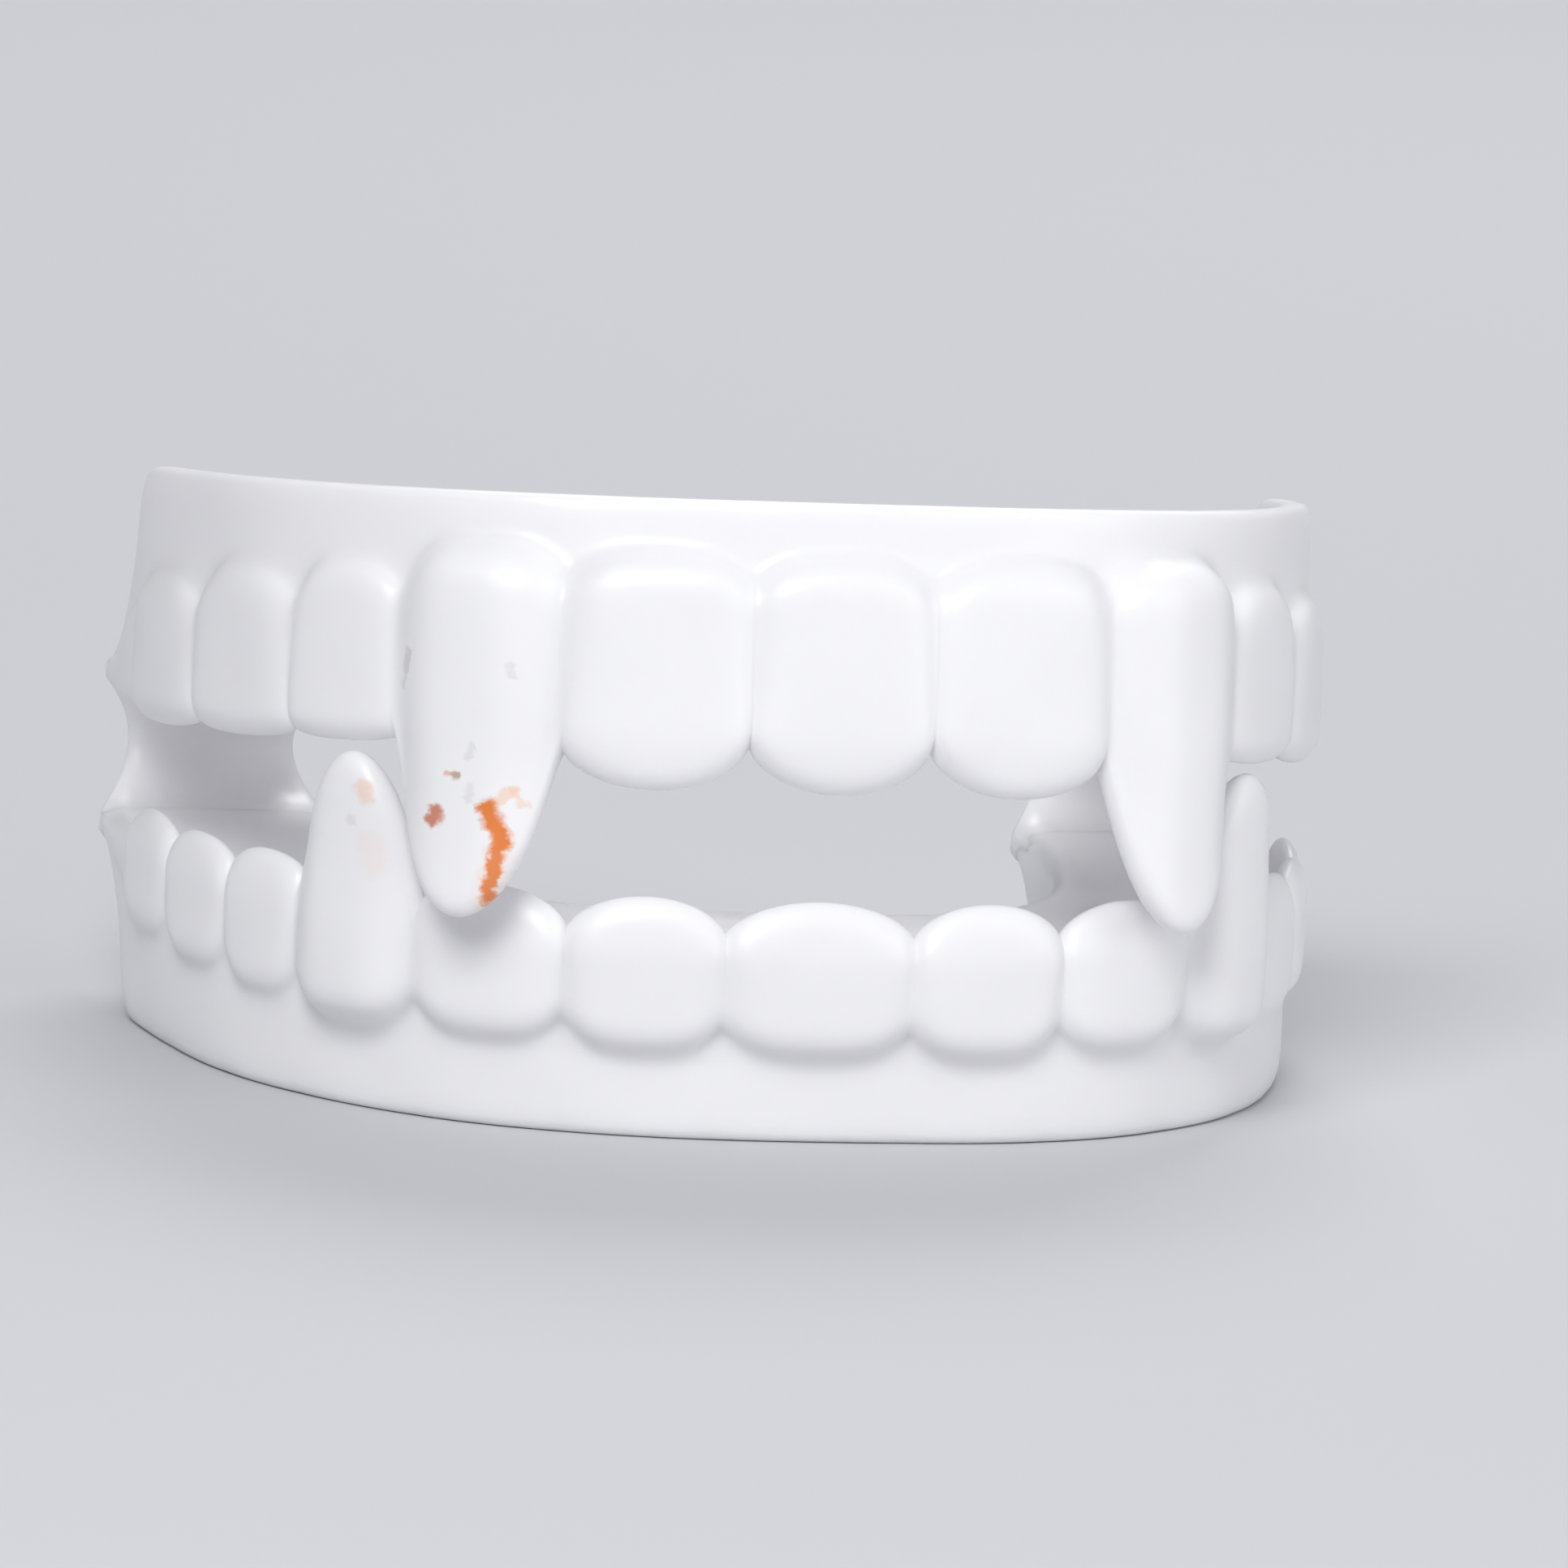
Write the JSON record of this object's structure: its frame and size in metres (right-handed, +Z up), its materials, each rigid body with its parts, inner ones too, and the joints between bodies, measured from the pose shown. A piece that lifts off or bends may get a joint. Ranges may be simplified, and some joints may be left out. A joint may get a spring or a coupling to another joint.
{
  "type": "vampire fang denture",
  "caption": "Soft white costume denture with fangs: an upper and a lower tray of teeth over channels for the wearer's teeth, joined behind by folding bands.",
  "frame": {"origin": "under the middle of the whole denture, on the surface that it lies on", "axes": "+X to the wearer's left, the widest way; -Y towards the front teeth; +Z up from the lower tray to the upper tray, the smallest way"},
  "size_m": [0.0568, 0.0436, 0.0301],
  "materials": {
    "white_vinyl": "soft bright white moulded vinyl with a satin gloss"
  },
  "bodies": {
    "lower_jaw": {"lower_arch": "white_vinyl"},
    "upper_jaw": {"upper_arch": "white_vinyl"}
  },
  "joints": [
    {"name": "jaw_hinge", "type": "hinge", "parent": "lower_jaw", "child": "upper_jaw", "pos_m": [0, 0.02117, 0.0115], "axis": [-1, 0, 0], "range_deg": [0, 45], "stiffness_Nm_per_rad": 0.015}
  ]
}
